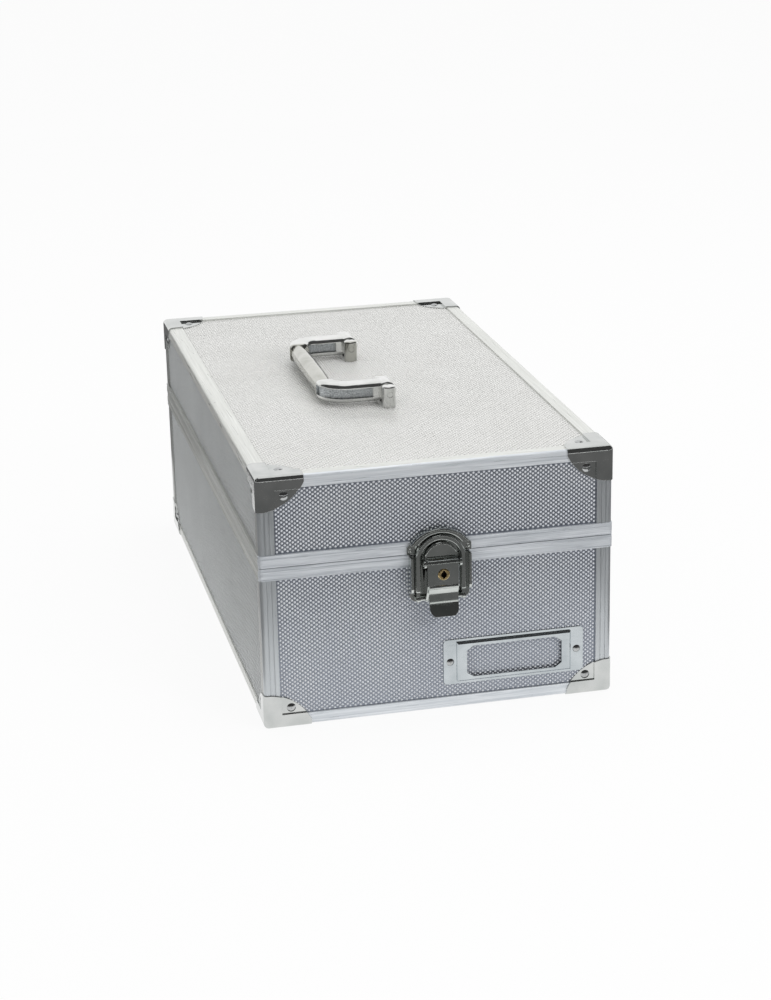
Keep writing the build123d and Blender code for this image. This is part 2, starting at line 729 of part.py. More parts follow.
def latch_base():
    """Plate on the body with two guard walls, two ears for the lever's pin and a catch for the lock."""
    with BuildPart() as piece:
        slab((-LATCH_HALF_W, LATCH_HALF_W), (front_y - PLATE_OUT, front_y + TRIM_T), (BASE_LOW, base_high))
        fillet(piece.edges().filter_by(Axis.Y).group_by(Axis.Z)[0], BASE_CORNER_R)
        around(-RIM_PROUD, (rim_low - FIT, base_high + 1), Mode.SUBTRACT)
        for side in (-1, 1):
            guard = sorted((side * LATCH_HALF_W, side * (LATCH_HALF_W - BASE_WALL_T)))
            slab(guard, (front_y - BASE_WALL_OUT, front_y - PLATE_OUT), (BASE_WALL_LOW, base_high))
        lower = piece.edges().filter_by(Axis.X).group_by(Axis.Y)[0].group_by(Axis.Z)[0]
        fillet(lower, BASE_WALL_R)
        for side in (-1, 1):
            with BuildSketch(latch_side.offset(side * (ear_in + ear_out) / 2)):
                with Locations((LEVER_PIN_OUT, lever_pin_z)):
                    Circle(KNUCKLE_R)
                with Locations(((PLATE_OUT + LEVER_PIN_OUT) / 2, lever_pin_z - EAR_WEB_DROP)):
                    Rectangle(LEVER_PIN_OUT - PLATE_OUT, EAR_WEB_H)
                with Locations((LEVER_PIN_OUT, lever_pin_z)):
                    Circle(LEVER_PIN_R + FIT, mode=Mode.SUBTRACT)
            extrude(amount=EAR_T / 2, both=True)
        lock_catch()
        drill(front, base_spots, PLATE_RIVET_R + FIT, 2 * TRIM_T, 2 * PLATE_OUT)
    save("latch_base", piece.part)


def lock_catch():
    """Small hook on the base plate that the lock's cam turns behind."""
    height = (LOCK_Z - CATCH_HALF_H, LOCK_Z + CATCH_HALF_H)
    face = front_y - lip_out - CATCH_LIP_T
    slab((catch_in, catch_in + CATCH_T), (face, front_y - PLATE_OUT), height)
    slab((catch_in + CATCH_T - CATCH_LIP, catch_in + CATCH_T), (face, front_y - lip_out), height)


# Draw latch: lever, loop, pins and lock

plate_out = LEVER_PIN_OUT + KNUCKLE_R
loop_eye_r = LOOP_PIN_OUT - PLATE_OUT - LOOP_EYE_GAP


def lever_cheek():
    """Side cheek in section, from the plate back to the eye that carries the loop."""
    spine = plate_out - LEVER_T / 2
    back_out = LOOP_PIN_OUT - loop_eye_r
    with BuildSketch(Plane.XY) as cheek:
        with BuildLine():
            Polyline((spine, CHEEK_TOP_Z), (spine, STEP_Z), (LOOP_PIN_OUT + loop_eye_r, LOOP_PIN_Z),
                     (back_out, LOOP_PIN_Z), (back_out, STEP_Z), (CHEEK_TOP_OUT, CHEEK_TOP_Z), close=True)
        make_face()
        with Locations((LOOP_PIN_OUT, LOOP_PIN_Z)):
            Circle(loop_eye_r)
    return cheek.sketch


def lever_tongue():
    """Thumb tongue: a roll under the plate, a hollow waist and a lip that flares out, rounded below."""
    neck_z = STEP_Z - ROLL_DROP
    waist_z = (STEP_Z + TONGUE_TIP_Z) / 2 + TONGUE_WAIST_UP
    front_top = (plate_out, neck_z)
    back_top = (plate_out - LEVER_T, neck_z)
    front_tip = (TONGUE_TIP_OUT, TONGUE_TIP_Z + TONGUE_TIP_H)
    back_tip = (TONGUE_TIP_OUT - LEVER_T + TONGUE_TIP_H / 3, TONGUE_TIP_Z)
    with BuildPart() as tongue:
        with BuildSketch(latch_side):
            with BuildLine():
                ThreePointArc(front_top, (TONGUE_WAIST_OUT, waist_z), front_tip)
                Line(front_tip, back_tip)
                ThreePointArc(back_tip, (TONGUE_WAIST_OUT - LEVER_T, waist_z), back_top)
                Line(back_top, front_top)
            make_face()
            with Locations((plate_out - LEVER_T / 2, neck_z)):
                Circle(ROLL_R)
        extrude(amount=TONGUE_HALF_W, both=True)
        with BuildSketch(front):
            with Locations((0, TONGUE_TIP_Z + STEP_Z / 2)):
                RectangleRounded(2 * TONGUE_HALF_W, STEP_Z, TONGUE_CORNER_R)
        extrude(amount=2 * TONGUE_TIP_OUT, mode=Mode.INTERSECT)
    return tongue.part


def latch_lever():
    """Folded lever: rolled top round its pin, plate for the lock, two cheeks and a curved thumb tongue."""
    cheek = lever_cheek()
    tongue = lever_tongue()
    with BuildPart() as piece:
        with BuildSketch(latch_side):
            with Locations((LEVER_PIN_OUT, lever_pin_z)):
                Circle(KNUCKLE_R)
            with Locations((plate_out - LEVER_T / 2, (STEP_Z + lever_pin_z) / 2)):
                Rectangle(LEVER_T, lever_pin_z - STEP_Z)
        extrude(amount=LEVER_HALF_W, both=True)
        chamfer(piece.edges().filter_by(Axis.Z).group_by(Axis.Y)[0], LEVER_BEVEL)
        for side in (-1, 1):
            with BuildSketch(latch_side.offset(side * (LEVER_HALF_W - CHEEK_T / 2))):
                add(cheek)
            extrude(amount=CHEEK_T / 2, both=True)
        add(tongue)
        with BuildSketch(latch_side):
            with Locations((LEVER_PIN_OUT, lever_pin_z)):
                Circle(LEVER_PIN_R + PIN_RUN)
            with Locations((LOOP_PIN_OUT, LOOP_PIN_Z)):
                Circle(LOOP_PIN_R)
        extrude(amount=LATCH_HALF_W, both=True, mode=Mode.SUBTRACT)
        drill(front, [(0, LOCK_Z)], LOCK_R + PIN_RUN, 0, 2 * plate_out)
        drill(front.offset(plate_out), [(0, LOCK_Z - LOCK_MARK_DROP)], LOCK_MARK_R, LOCK_MARK_DEEP)
    save("latch_lever", piece.part)


loop_tab_x = LOOP_HALF_W - LOOP_BAR_W / 2


def latch_loop():
    """Flat arched loop whose legs narrow to tabs on the lever's studs; its arch hooks over the boss."""
    inner_r = LOOP_HALF_W - LOOP_BAR_W
    leg_h = loop_arc_z - LOOP_SHOULDER_Z
    tab_h = LOOP_SHOULDER_Z + LOOP_SHOULDER_R - LOOP_PIN_Z
    with BuildPart() as piece:
        with BuildSketch(front.offset(LOOP_PIN_OUT - LOOP_T / 2)):
            with Locations((0, loop_arc_z)):
                Circle(LOOP_HALF_W)
            with Locations((0, LOOP_SHOULDER_Z + leg_h / 2)):
                Rectangle(2 * LOOP_HALF_W, leg_h)
            with Locations((0, loop_arc_z)):
                Circle(inner_r, mode=Mode.SUBTRACT)
            with Locations((0, LOOP_SHOULDER_Z)):
                Rectangle(2 * inner_r, 2 * leg_h, mode=Mode.SUBTRACT)
        extrude(amount=LOOP_T)
        fillet(piece.edges().filter_by(Axis.Y).group_by(Axis.Z)[0], LOOP_SHOULDER_R)
        rim = piece.faces().sort_by(Axis.Y)[0].edges()
        fillet(rim, LOOP_EDGE_R)
        for side in (-1, 1):
            with BuildSketch(latch_side.offset(side * loop_tab_x)):
                with Locations((LOOP_PIN_OUT, LOOP_PIN_Z)):
                    Circle(LOOP_END_R)
                with Locations((LOOP_PIN_OUT, LOOP_PIN_Z + tab_h / 2)):
                    Rectangle(LOOP_T - 2 * LOOP_EDGE_R, tab_h)
            extrude(amount=LOOP_TAB_W / 2, both=True)
        with BuildSketch(latch_side):
            with Locations((LOOP_PIN_OUT, LOOP_PIN_Z)):
                Circle(LOOP_PIN_R + PIN_RUN)
        extrude(amount=LATCH_HALF_W, both=True, mode=Mode.SUBTRACT)
    save("latch_loop", piece.part)


def latch_pins():
    """The lever's pin across the ears, and a stud on each cheek for the loop."""
    stud_in = LEVER_HALF_W - CHEEK_T
    stud_out = loop_tab_x + LOOP_TAB_W / 2 + PIN_PROUD
    with BuildPart() as lever_pin:
        with BuildSketch(latch_side):
            with Locations((LEVER_PIN_OUT, lever_pin_z)):
                Circle(LEVER_PIN_R)
        extrude(amount=ear_out + PIN_PROUD, both=True)
    save("latch_lever_pin", lever_pin.part)
    with BuildPart() as studs:
        for side in (-1, 1):
            with BuildSketch(latch_side.offset(side * (stud_in + stud_out) / 2)):
                with Locations((LOOP_PIN_OUT, LOOP_PIN_Z)):
                    Circle(LOOP_PIN_R)
            extrude(amount=(stud_out - stud_in) / 2, both=True)
    save("latch_loop_pins", studs.part)


def latch_lock():
    """Brass plug with a keyhole, and the cam on its back that turns behind the catch."""
    with BuildPart() as plug:
        with BuildSketch(front.offset(LOCK_BACK_OUT)):
            with Locations((0, LOCK_Z)):
                Circle(LOCK_R)
        extrude(amount=LOCK_OUT - LOCK_BACK_OUT)
        chamfer(plug.edges().sort_by(Axis.Y)[0], LOCK_EDGE)
        with BuildSketch(front.offset(LOCK_OUT)):
            with Locations((0, LOCK_Z)):
                Rectangle(KEYWAY_W, KEYWAY_L)
                Circle(KEYHOLE_R)
        extrude(amount=-KEYWAY_DEEP, mode=Mode.SUBTRACT)
    save("lock_cylinder", plug.part)
    with BuildPart() as cam:
        with BuildSketch(front.offset(LOCK_BACK_OUT)):
            with Locations((0, LOCK_Z)):
                Circle(CAM_R)
            with Locations((0, LOCK_Z - CAM_REACH / 2)):
                Rectangle(CAM_W, CAM_REACH)
        extrude(amount=-CAM_T)
    save("lock_cam", cam.part)


# Card holder on the front of the body

holder_x = half_w - HOLDER_SIDE - HOLDER_W / 2
holder_z = base_z + HOLDER_UP + HOLDER_H / 2
holder_spots = [(holder_x + s * (HOLDER_W / 2 - HOLDER_RIVET_IN), holder_z) for s in (-1, 1)]


def label_holder():
    """Pressed sheet: two flat flanges and a raised border that holds a card behind its window."""
    holder = Plane(origin=(holder_x, front_y + TRIM_T, holder_z), x_dir=(1, 0, 0), z_dir=(0, -1, 0))
    frame_w = HOLDER_W - 2 * HOLDER_FLANGE
    frame_h = HOLDER_H - 2 * HOLDER_LEDGE
    hx = frame_w / 2 - BORDER_SIDE
    hz = frame_h / 2 - BORDER_TOP
    with BuildPart() as piece:
        with BuildSketch(holder):
            Rectangle(frame_w, frame_h)
        extrude(amount=FRAME_OUT)
        chamfer(piece.faces().sort_by(Axis.Y)[0].edges(), FRAME_BEVEL)
        with BuildSketch(holder):
            RectangleRounded(HOLDER_W, HOLDER_H, HOLDER_CORNER_R)
        extrude(amount=HOLDER_T)
        with BuildSketch(holder):
            Rectangle(frame_w - 2 * FRAME_WALL, frame_h - 2 * FRAME_WALL)
        extrude(amount=FRAME_OUT - HOLDER_T, mode=Mode.SUBTRACT)
        with BuildSketch(holder):
            with BuildLine():
                Polyline((WINDOW_CUT_X - hx, -hz), (hx - WINDOW_CUT_X, -hz), (hx, WINDOW_CUT_Z - hz),
                         (hx, hz - WINDOW_CUT_Z), (hx - WINDOW_CUT_X, hz), (WINDOW_CUT_X - hx, hz),
                         (-hx, hz - WINDOW_CUT_Z), (-hx, WINDOW_CUT_Z - hz), close=True)
            make_face()
        extrude(amount=2 * FRAME_OUT, mode=Mode.SUBTRACT)
        drill(front, holder_spots, RIVET_SHANK_R + FIT, 2 * TRIM_T, FRAME_OUT)
    save("label_holder", piece.part)


# Butt hinges across the seam at the back

hinge_y = back_y + hinge_out
hinge_third = (HINGE_W - 2 * HINGE_SIDE_GAP) / 3
leaf_skin_out = HINGE_T - TRIM_T
leaf_rim_out = RIM_PROUD + HINGE_T


def hinge_spots(up):
    """Rivets of both hinges on one leaf; up is 1 for the lid's leaves and -1 for the body's."""
    return [(s * HINGE_X + u, SEAM_Z + up * HINGE_RIVET_DOWN) for s in (-1, 1)
            for u in (-HINGE_RIVET_U, HINGE_RIVET_U)]


def knuckle(x, length, radius, mode=Mode.ADD):
    with Locations((x, hinge_y, SEAM_Z)):
        Cylinder(radius, length, rotation=(0, 90, 0), mode=mode)


def hinge_leaf(name, up):
    """Leaf of each hinge, bent over the rim profile and down onto the skin."""
    near = SEAM_Z + up * SEAM_GAP / 2
    rim_end = near + up * (RIM_H + SEAM_CLEAR)
    knee = rim_end + up * HINGE_T
    far = SEAM_Z + up * HINGE_LEAF_H
    outer = [-hinge_third - HINGE_SIDE_GAP, hinge_third + HINGE_SIDE_GAP]
    own, other = ([0.0], outer) if up > 0 else (outer, [0.0])
    room_length = hinge_third + 2 * HINGE_SIDE_GAP
    room_radius = HINGE_KNUCKLE_R + HINGE_CLEAR
    with BuildPart() as piece:
        for x in (-HINGE_X, HINGE_X):
            span = (x - HINGE_W / 2, x + HINGE_W / 2)
            slab(span, (back_y + RIM_PROUD, back_y + leaf_rim_out), sorted((near, knee)))
            slab(span, (back_y - TRIM_T, back_y + leaf_rim_out), sorted((rim_end, knee)))
            slab(span, (back_y - TRIM_T, back_y + leaf_skin_out), sorted((rim_end, far)))
            for shift in own:
                knuckle(x + shift, hinge_third, HINGE_KNUCKLE_R)
        for x in (-HINGE_X, HINGE_X):
            for shift in other:
                knuckle(x + shift, room_length, room_radius, Mode.SUBTRACT)
            knuckle(x, 2 * HINGE_W, HINGE_PIN_R + PIN_RUN, Mode.SUBTRACT)
        drill(back, hinge_spots(up), RIVET_SHANK_R + FIT, 2 * TRIM_T, HINGE_T)
    save(name, piece.part)


def hinge_pins():
    with BuildPart() as piece:
        for x in (-HINGE_X, HINGE_X):
            knuckle(x, HINGE_W + 2 * HINGE_PIN_PROUD, HINGE_PIN_R)
    save("hinge_pins", piece.part)


# Build every piece

def build_case():
    """Boards, skins, trims, caps and linings of the lid and the body."""
    lid_level = top_z - CAP_RIVET_DOWN
    body_level = base_z + CAP_RIVET_DOWN
    lid_holes = {"front": [(keeper_spots, PLATE_RIVET_R)], "back": [(hinge_spots(1), RIVET_SHANK_R)]}
    body_holes = {"front": [(base_spots, PLATE_RIVET_R), (holder_spots, RIVET_SHANK_R)],
                  "back": [(hinge_spots(-1), RIVET_SHANK_R)]}
    lid_low = lid_rim_z + TRIM_T
    body_high = body_rim_z - TRIM_T
    walls_of("lid", (lid_low, top_z - board_in), (lid_low, top_z - skin_in), lid_level, lid_holes)
    walls_of("body", (base_z + board_in, body_high), (base_z + skin_in, body_high), body_level, body_holes)
    lid_top()
    foot_holes = [(cap_spots, RIVET_SHANK_R)]
    save("body_bottom_panel", flat_piece(bottom, skin_in, BOARD_T, foot_holes))
    save("body_bottom_skin", flat_piece(bottom, TRIM_T, SKIN_T, foot_holes))

    edge_trims("lid_top_trims", (top_z - TRIM_DROP, top_z), True)
    edge_trims("body_bottom_trims", (base_z, base_z + TRIM_DROP), False)
    corner_trims("lid_corner_trims", (rim_top, top_z - TRIM_DROP))
    corner_trims("body_corner_trims", (base_z + TRIM_DROP, rim_low))
    rim_trims("lid_rim_trims", (lid_rim_z, rim_top), True, [(keeper_spots, PLATE_RIVET_R)])
    rim_trims("body_rim_trims", (rim_low, body_rim_z), False, [])
    caps_of("lid", top_z, False)
    caps_of("body", base_z, True)
    cap_rivets("lid", lid_level, top)
    cap_rivets("body", body_level, bottom)
    lining("lid_lining", (lid_rim_z + RIM_LIP, top_z - board_in), True)
    lining("body_lining", (base_z + board_in, body_rim_z - RIM_LIP), False)


def build_handle():
    handle()
    handle_mounts()
    handle_pins()
    handle_screws()


def build_latch():
    latch_keeper()
    latch_base()
    latch_lever()
    latch_loop()
    latch_pins()
    latch_lock()
    plate_rivet = rivet_shape(PLATE_RIVET_HEAD_R, PLATE_RIVET_HEAD_H, PLATE_RIVET_R,
                              PLATE_OUT + skin_in + RIVET_BITE)
    rivets("latch_keeper_rivets", [(plate_rivet, front.offset(PLATE_OUT), keeper_spots)])
    rivets("latch_base_rivets", [(plate_rivet, front.offset(PLATE_OUT), base_spots)])


def build_holder_and_hinges():
    label_holder()
    holder_rivet = rivet_shape(HOLDER_RIVET_R, RIVET_HEAD_H, RIVET_SHANK_R, HOLDER_T + SKIN_T + RIVET_BITE)
    rivets("label_holder_rivets", [(holder_rivet, front.offset(HOLDER_T - TRIM_T), holder_spots)])
    hinge_leaf("hinge_lid_leaves", 1)
    hinge_leaf("hinge_body_leaves", -1)
    hinge_pins()
    hinge_rivet = rivet_shape(RIVET_HEAD_R, RIVET_HEAD_H, RIVET_SHANK_R, HINGE_T + SKIN_T + RIVET_BITE)
    rivets("hinge_lid_rivets", [(hinge_rivet, back.offset(leaf_skin_out), hinge_spots(1))])
    rivets("hinge_body_rivets", [(hinge_rivet, back.offset(leaf_skin_out), hinge_spots(-1))])


os.makedirs("parts", exist_ok=True)
build_case()
build_handle()
build_latch()
build_holder_and_hinges()
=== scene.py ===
import json
import math

import bpy
from mathutils import Matrix, Vector


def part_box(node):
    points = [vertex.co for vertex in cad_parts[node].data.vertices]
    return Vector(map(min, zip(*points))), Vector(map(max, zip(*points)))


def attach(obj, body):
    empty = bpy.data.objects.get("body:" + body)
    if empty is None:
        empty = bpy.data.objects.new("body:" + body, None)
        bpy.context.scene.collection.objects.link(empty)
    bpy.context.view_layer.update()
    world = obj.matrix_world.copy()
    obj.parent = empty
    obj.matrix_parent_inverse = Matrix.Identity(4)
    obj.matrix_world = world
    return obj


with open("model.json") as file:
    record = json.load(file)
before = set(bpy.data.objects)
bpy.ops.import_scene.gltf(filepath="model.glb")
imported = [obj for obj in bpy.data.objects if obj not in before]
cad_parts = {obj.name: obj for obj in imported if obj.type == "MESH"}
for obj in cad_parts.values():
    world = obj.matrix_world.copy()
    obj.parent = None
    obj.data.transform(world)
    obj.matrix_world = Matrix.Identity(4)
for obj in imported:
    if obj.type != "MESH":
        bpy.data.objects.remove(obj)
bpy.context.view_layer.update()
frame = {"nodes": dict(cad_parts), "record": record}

# Looks of the postcard storage case. Metres, +Z up, front at -Y, as in the frame.
MM = 0.001

# Camera: where it stands, where it looks, its lens and how far it sees
CAMERA_AT = Vector((-0.2584, -1.1831, 0.4770))
LOOK_AZIMUTH = 12.74
LOOK_DOWN = 18.97
CAMERA_ROLL = -1.24
LENS_MM = 82.07
VIEW_END = 50

# Studio: floor, ambient level and lamps
WHITE = (1, 1, 1, 1)
FLOOR_R = 9.0
FLOOR_STEPS = 96
FLOOR_COLOUR = (0.82, 0.82, 0.82, 1)
FLOOR_ROUGH = 0.8
FLOOR_SPECULAR = 0.2
FLOOR_GLOW = 0.92
AMBIENT = 0.68
TOP_LAMP_W = 11.0
TOP_LAMP_SIZE = 1.3
TOP_LAMP_AT = Vector((0.25, 0.1, 1.7))
FRONT_LAMP_W = 8.0
FRONT_LAMP_SIZE = 0.8
FRONT_LAMP_AT = Vector((0.9, -1.5, 1.1))
LAMP_AIM_Z = 0.07

# Grey card on the floor and dark hood round the front and sides, which only reflections show
CARD_UP = 0.5 * MM
CARD_SIDE_GAP = 0.06
CARD_END_GAP = 0.13
CARD_REACH = 1.6
CARD_GREY = 0.155
HOOD_R = 2.4
HOOD_LOW = 0.16
HOOD_HIGH = 10.0
HOOD_SWEEP = 120.0
HOOD_STEPS = 40
HOOD_GREY = 0.06

# Embossed dots on the skins
DOT_R = 0.75 * MM
DOT_H = 0.45 * MM
DOT_SIDES = 8
DOT_SINK = 0.02 * MM
WALL_PITCH_ACROSS = 2.65 * MM
WALL_PITCH_UP = 2.17 * MM
TOP_PITCH_X = 2.65 * MM
TOP_PITCH_Y = 2.77 * MM
TRIM_LEG = 8.0 * MM

# How near the front or back plane a point of a trim counts as part of that face, which is painted in
# lighter tones than the others as painted light
FACE_DEPTH = 2.0 * MM

# Sanded recesses of the handle: half height, and where they start from the pivots and from the grip
SAND_HALF_H = 2.5 * MM
SAND_START = 7.5 * MM
GRIP_HALF = 37.5 * MM

# Lock: how far in from its face and rim a point counts as keyhole, painted near black as painted shade, and
# the spacing of its turning marks
KEYHOLE_SHADE_INSET = 0.35 * MM
TURNING_STEP = 0.35 * MM

# Noise of the finishes, in cells per metre: along and across for streaks, one an axis for scratches
DIE_LINES = (12.0, 2200.0)
WAVY_STREAKS = (34.0, 620.0)
SKIN_GRAIN = 2600.0
SKIN_CLOUD = 28.0
PLATING_CLOUD = 90.0
SCRATCHES = (140.0, 2200.0, 900.0)
SAND_GRAIN = 1700.0
BOARD_FIBRE = 700.0
FELT_FIBRE = 1500.0
FELT_PATCH = 160.0

# How much the wavy streaks waver, and the turn of the scratches in radians
STREAK_WAVER = 0.9
SCRATCH_TURN = (0.3, 0.5, 0.8)

# Middle of a noise's range, where most of its values lie
NOISE_LOW = 0.3
NOISE_HIGH = 0.7

# Relief depths of the finishes, and the radii by which edges are softened
TRIM_RELIEF = 0.05 * MM
SKIN_RELIEF = 0.02 * MM
SCRATCH_RELIEF = 0.004 * MM
SAND_RELIEF = 0.25 * MM
BOARD_RELIEF = 0.1 * MM
FELT_RELIEF = 0.25 * MM
TURNING_RELIEF = 0.006 * MM
TRIM_EDGE = 0.25 * MM
HANDLE_EDGE = 0.2 * MM
PLUG_EDGE = 0.15 * MM
EDGE_SAMPLES = 4

# Shares of a finish's own roughness where it is smoothest and where it is roughest
TRIM_SHARES = (0.75, 1.3)
SKIN_SHARES = (0.85, 1.2)
PLATING_SHARES = (0.7, 1.5)

# Roughness of the handle's plating and of its sanded recesses, and the felt's sheen
HANDLE_ROUGH = 0.13
SAND_ROUGH = 0.42
FELT_SHEEN = 0.35
FELT_SHEEN_ROUGH = 0.6

half_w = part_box("lid_top_trims")[1][0]
front_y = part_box("lid_top_trims")[0][1]
back_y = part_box("lid_top_trims")[1][1]
mid_y = (front_y + back_y) / 2
half_d = (back_y - front_y) / 2


# Shader helpers

def add_node(tree, kind, inputs=None, **settings):
    """A shader node; inputs maps a socket's name or number to a value or to another node's output."""
    made = tree.nodes.new(kind)
    for name, value in settings.items():
        setattr(made, name, value)
    for socket, value in (inputs or {}).items():
        if isinstance(value, bpy.types.NodeSocket):
            tree.links.new(value, made.inputs[socket])
        else:
            made.inputs[socket].default_value = value
    return made


def math_node(tree, operation, first, second=0.0):
    return add_node(tree, "ShaderNodeMath", {0: first, 1: second}, operation=operation).outputs[0]


def seen_directly(tree):
    """1 for rays from the camera and for what metal and glass show, otherwise 0."""
    path = add_node(tree, "ShaderNodeLightPath")
    either = math_node(tree, "MAXIMUM", path.outputs["Is Camera Ray"], path.outputs["Is Glossy Ray"])
    return math_node(tree, "MAXIMUM", either, path.outputs["Is Transmission Ray"])


# Camera, floor, world, reflected cards and lamps

def build_camera():
    camera = bpy.data.objects.new("camera", bpy.data.cameras.new("camera"))
    bpy.context.scene.collection.objects.link(camera)
    turn = Matrix.Rotation(math.radians(-LOOK_AZIMUTH), 4, "Z")
    tilt = Matrix.Rotation(math.radians(90 - LOOK_DOWN), 4, "X")
    roll = Matrix.Rotation(math.radians(CAMERA_ROLL), 4, "Z")
    camera.matrix_world = Matrix.Translation(CAMERA_AT) @ turn @ tilt @ roll
    camera.data.lens = LENS_MM
    camera.data.clip_end = VIEW_END
    bpy.context.scene.camera = camera


def build_world():
    """A white background with a plain ambient level behind it."""
    world = bpy.data.worlds.new("studio")
    world.use_nodes = True
    bpy.context.scene.world = world
    tree = world.node_tree
    tree.nodes.clear()
    white = add_node(tree, "ShaderNodeBackground", {"Color": WHITE, "Strength": 1.0})
    ambient = add_node(tree, "ShaderNodeBackground", {"Color": WHITE, "Strength": AMBIENT})
    mix = add_node(tree, "ShaderNodeMixShader", {0: seen_directly(tree), 1: ambient.outputs[0],
                                                 2: white.outputs[0]})
    add_node(tree, "ShaderNodeOutputWorld", {"Surface": mix.outputs[0]})


def mesh_piece(name, verts, faces):
    mesh = bpy.data.meshes.new(name)
    mesh.from_pydata(verts, [], faces)
    piece = bpy.data.objects.new(name, mesh)
    bpy.context.scene.collection.objects.link(piece)
    return piece


def build_floor():
    """Pale floor that shows white with the object's shadow on it."""
    turns = [2 * math.pi * n / FLOOR_STEPS for n in range(FLOOR_STEPS)]
    rim = [(FLOOR_R * math.cos(turn), FLOOR_R * math.sin(turn), 0) for turn in turns]
    floor = mesh_piece("floor", rim, [tuple(range(FLOOR_STEPS))])
    paint = bpy.data.materials.new("floor")
    paint.use_nodes = True
    tree = paint.node_tree
    shader = tree.nodes["Principled BSDF"]
    shader.inputs["Base Color"].default_value = FLOOR_COLOUR
    shader.inputs["Roughness"].default_value = FLOOR_ROUGH
    shader.inputs["Specular IOR Level"].default_value = FLOOR_SPECULAR
    glow = add_node(tree, "ShaderNodeEmission", {"Color": WHITE, "Strength": 1.0})
    share = math_node(tree, "MULTIPLY", seen_directly(tree), FLOOR_GLOW)
    mix = add_node(tree, "ShaderNodeMixShader", {0: share, 1: shader.outputs[0], 2: glow.outputs[0]})
    tree.links.new(mix.outputs[0], tree.nodes["Material Output"].inputs["Surface"])
    floor.data.materials.append(paint)


def for_reflections(card, grey):
    """Paints a card one even grey and hides it from all but reflections."""
    paint = bpy.data.materials.new(card.name)
    paint.use_nodes = True
    tree = paint.node_tree
    tree.nodes.remove(tree.nodes["Principled BSDF"])
    glow = add_node(tree, "ShaderNodeEmission", {"Color": WHITE, "Strength": grey})
    tree.links.new(glow.outputs[0], tree.nodes["Material Output"].inputs["Surface"])
    card.data.materials.append(paint)
    card.visible_camera = False
    card.visible_diffuse = False
    card.visible_transmission = False
    card.visible_shadow = False


def build_floor_card():
    """Grey card round the object, from a little way off its faces."""
    signs = ((-1, -1), (1, -1), (1, 1), (-1, 1))
    inner = [(x * (half_w + CARD_SIDE_GAP), mid_y + y * (half_d + CARD_END_GAP), CARD_UP) for x, y in signs]
    outer = [(x * CARD_REACH, mid_y + y * CARD_REACH, CARD_UP) for x, y in signs]
    faces = [(n, 4 + n, 4 + (n + 1) % 4, (n + 1) % 4) for n in range(4)]
    for_reflections(mesh_piece("floor_card", inner + outer, faces), CARD_GREY)


def build_hood():
    """Dark cloth round the front and sides, with the bright horizon left open under it."""
    verts = []
    for n in range(HOOD_STEPS + 1):
        angle = math.radians(-90 + HOOD_SWEEP * (2 * n / HOOD_STEPS - 1))
        for level in (HOOD_LOW, HOOD_HIGH):
            verts.append((HOOD_R * math.cos(angle), HOOD_R * math.sin(angle), level))
    faces = [(2 * n, 2 * n + 2, 2 * n + 3, 2 * n + 1) for n in range(HOOD_STEPS)]
    for_reflections(mesh_piece("hood", verts, faces), HOOD_GREY)


def build_lamp(name, power, size, at):
    """Soft round lamp aimed at the case, whose own disc no metal mirrors."""
    lamp = bpy.data.objects.new(name, bpy.data.lights.new(name, "AREA"))
    bpy.context.scene.collection.objects.link(lamp)
    lamp.visible_glossy = False
    lamp.data.energy = power
    lamp.data.shape = "DISK"
    lamp.data.size = size
    aim = Vector((0, mid_y, LAMP_AIM_Z)) - at
    lamp.matrix_world = Matrix.Translation(at) @ aim.to_track_quat("-Z", "Y").to_matrix().to_4x4()


# Materials

def paint_of(name, colour, metallic, roughness):
    paint = bpy.data.materials.new(name)
    paint.use_nodes = True
    shader = paint.node_tree.nodes["Principled BSDF"]
    shader.inputs["Base Color"].default_value = (*colour, 1)
    shader.inputs["Metallic"].default_value = metallic
    shader.inputs["Roughness"].default_value = roughness
    return paint


def spot_in(tree):
    """The shaded point's place in the object, in metres."""
    return add_node(tree, "ShaderNodeTexCoord").outputs["Object"]


def place(tree):
    """The same place, as three separate numbers."""
    return add_node(tree, "ShaderNodeSeparateXYZ", {0: spot_in(tree)}).outputs


def spread(tree, value, low, high):
    """A texture's middle range spread between two limits, with values past it held at them."""
    inputs = {"Value": value, "From Min": NOISE_LOW, "From Max": NOISE_HIGH, "To Min": low, "To Max": high}
    return add_node(tree, "ShaderNodeMapRange", inputs).outputs[0]


def tint(tree, value, dark, light):
    """A colour between two, by a value; each may be a colour or another node's output."""
    ends = [end if isinstance(end, bpy.types.NodeSocket) else (*end, 1) for end in (dark, light)]
    return add_node(tree, "ShaderNodeMix", {0: value, 6: ends[0], 7: ends[1]}, data_type="RGBA").outputs[2]


def tone(tree, value, dark, light):
    """A colour between two, over a texture's middle range."""
    return tint(tree, spread(tree, value, 0.0, 1.0), dark, light)


def between(tree, value, first, second):
    """A number between two, by a value."""
    return add_node(tree, "ShaderNodeMix", {0: value, 2: first, 3: second}).outputs[0]


def bump(tree, height, depth, into, soften=0.0):
    """Fine relief of a real depth, over edges softened by a radius."""
    inputs = {"Height": height, "Distance": depth, "Strength": 1.0}
    if soften:
        edge = add_node(tree, "ShaderNodeBevel", {"Radius": soften}, samples=EDGE_SAMPLES)
        inputs["Normal"] = edge.outputs[0]
    made = add_node(tree, "ShaderNodeBump", inputs)
    tree.links.new(made.outputs[0], into)


def vary_roughness(tree, value, rough, shares):
    """Lets the roughness follow a texture, between two shares of its own value."""
    made = spread(tree, value, shares[0] * rough, shares[1] * rough)
    tree.links.new(made, tree.nodes["Principled BSDF"].inputs["Roughness"])


def noise(tree, vector, scale, detail=3.0, distortion=0.0):
    return add_node(tree, "ShaderNodeTexNoise", {"Vector": vector, "Scale": scale, "Detail": detail,
                                                 "Distortion": distortion}).outputs[0]


def average(tree, first, second):
    return math_node(tree, "MULTIPLY", math_node(tree, "ADD", first, second), 0.5)


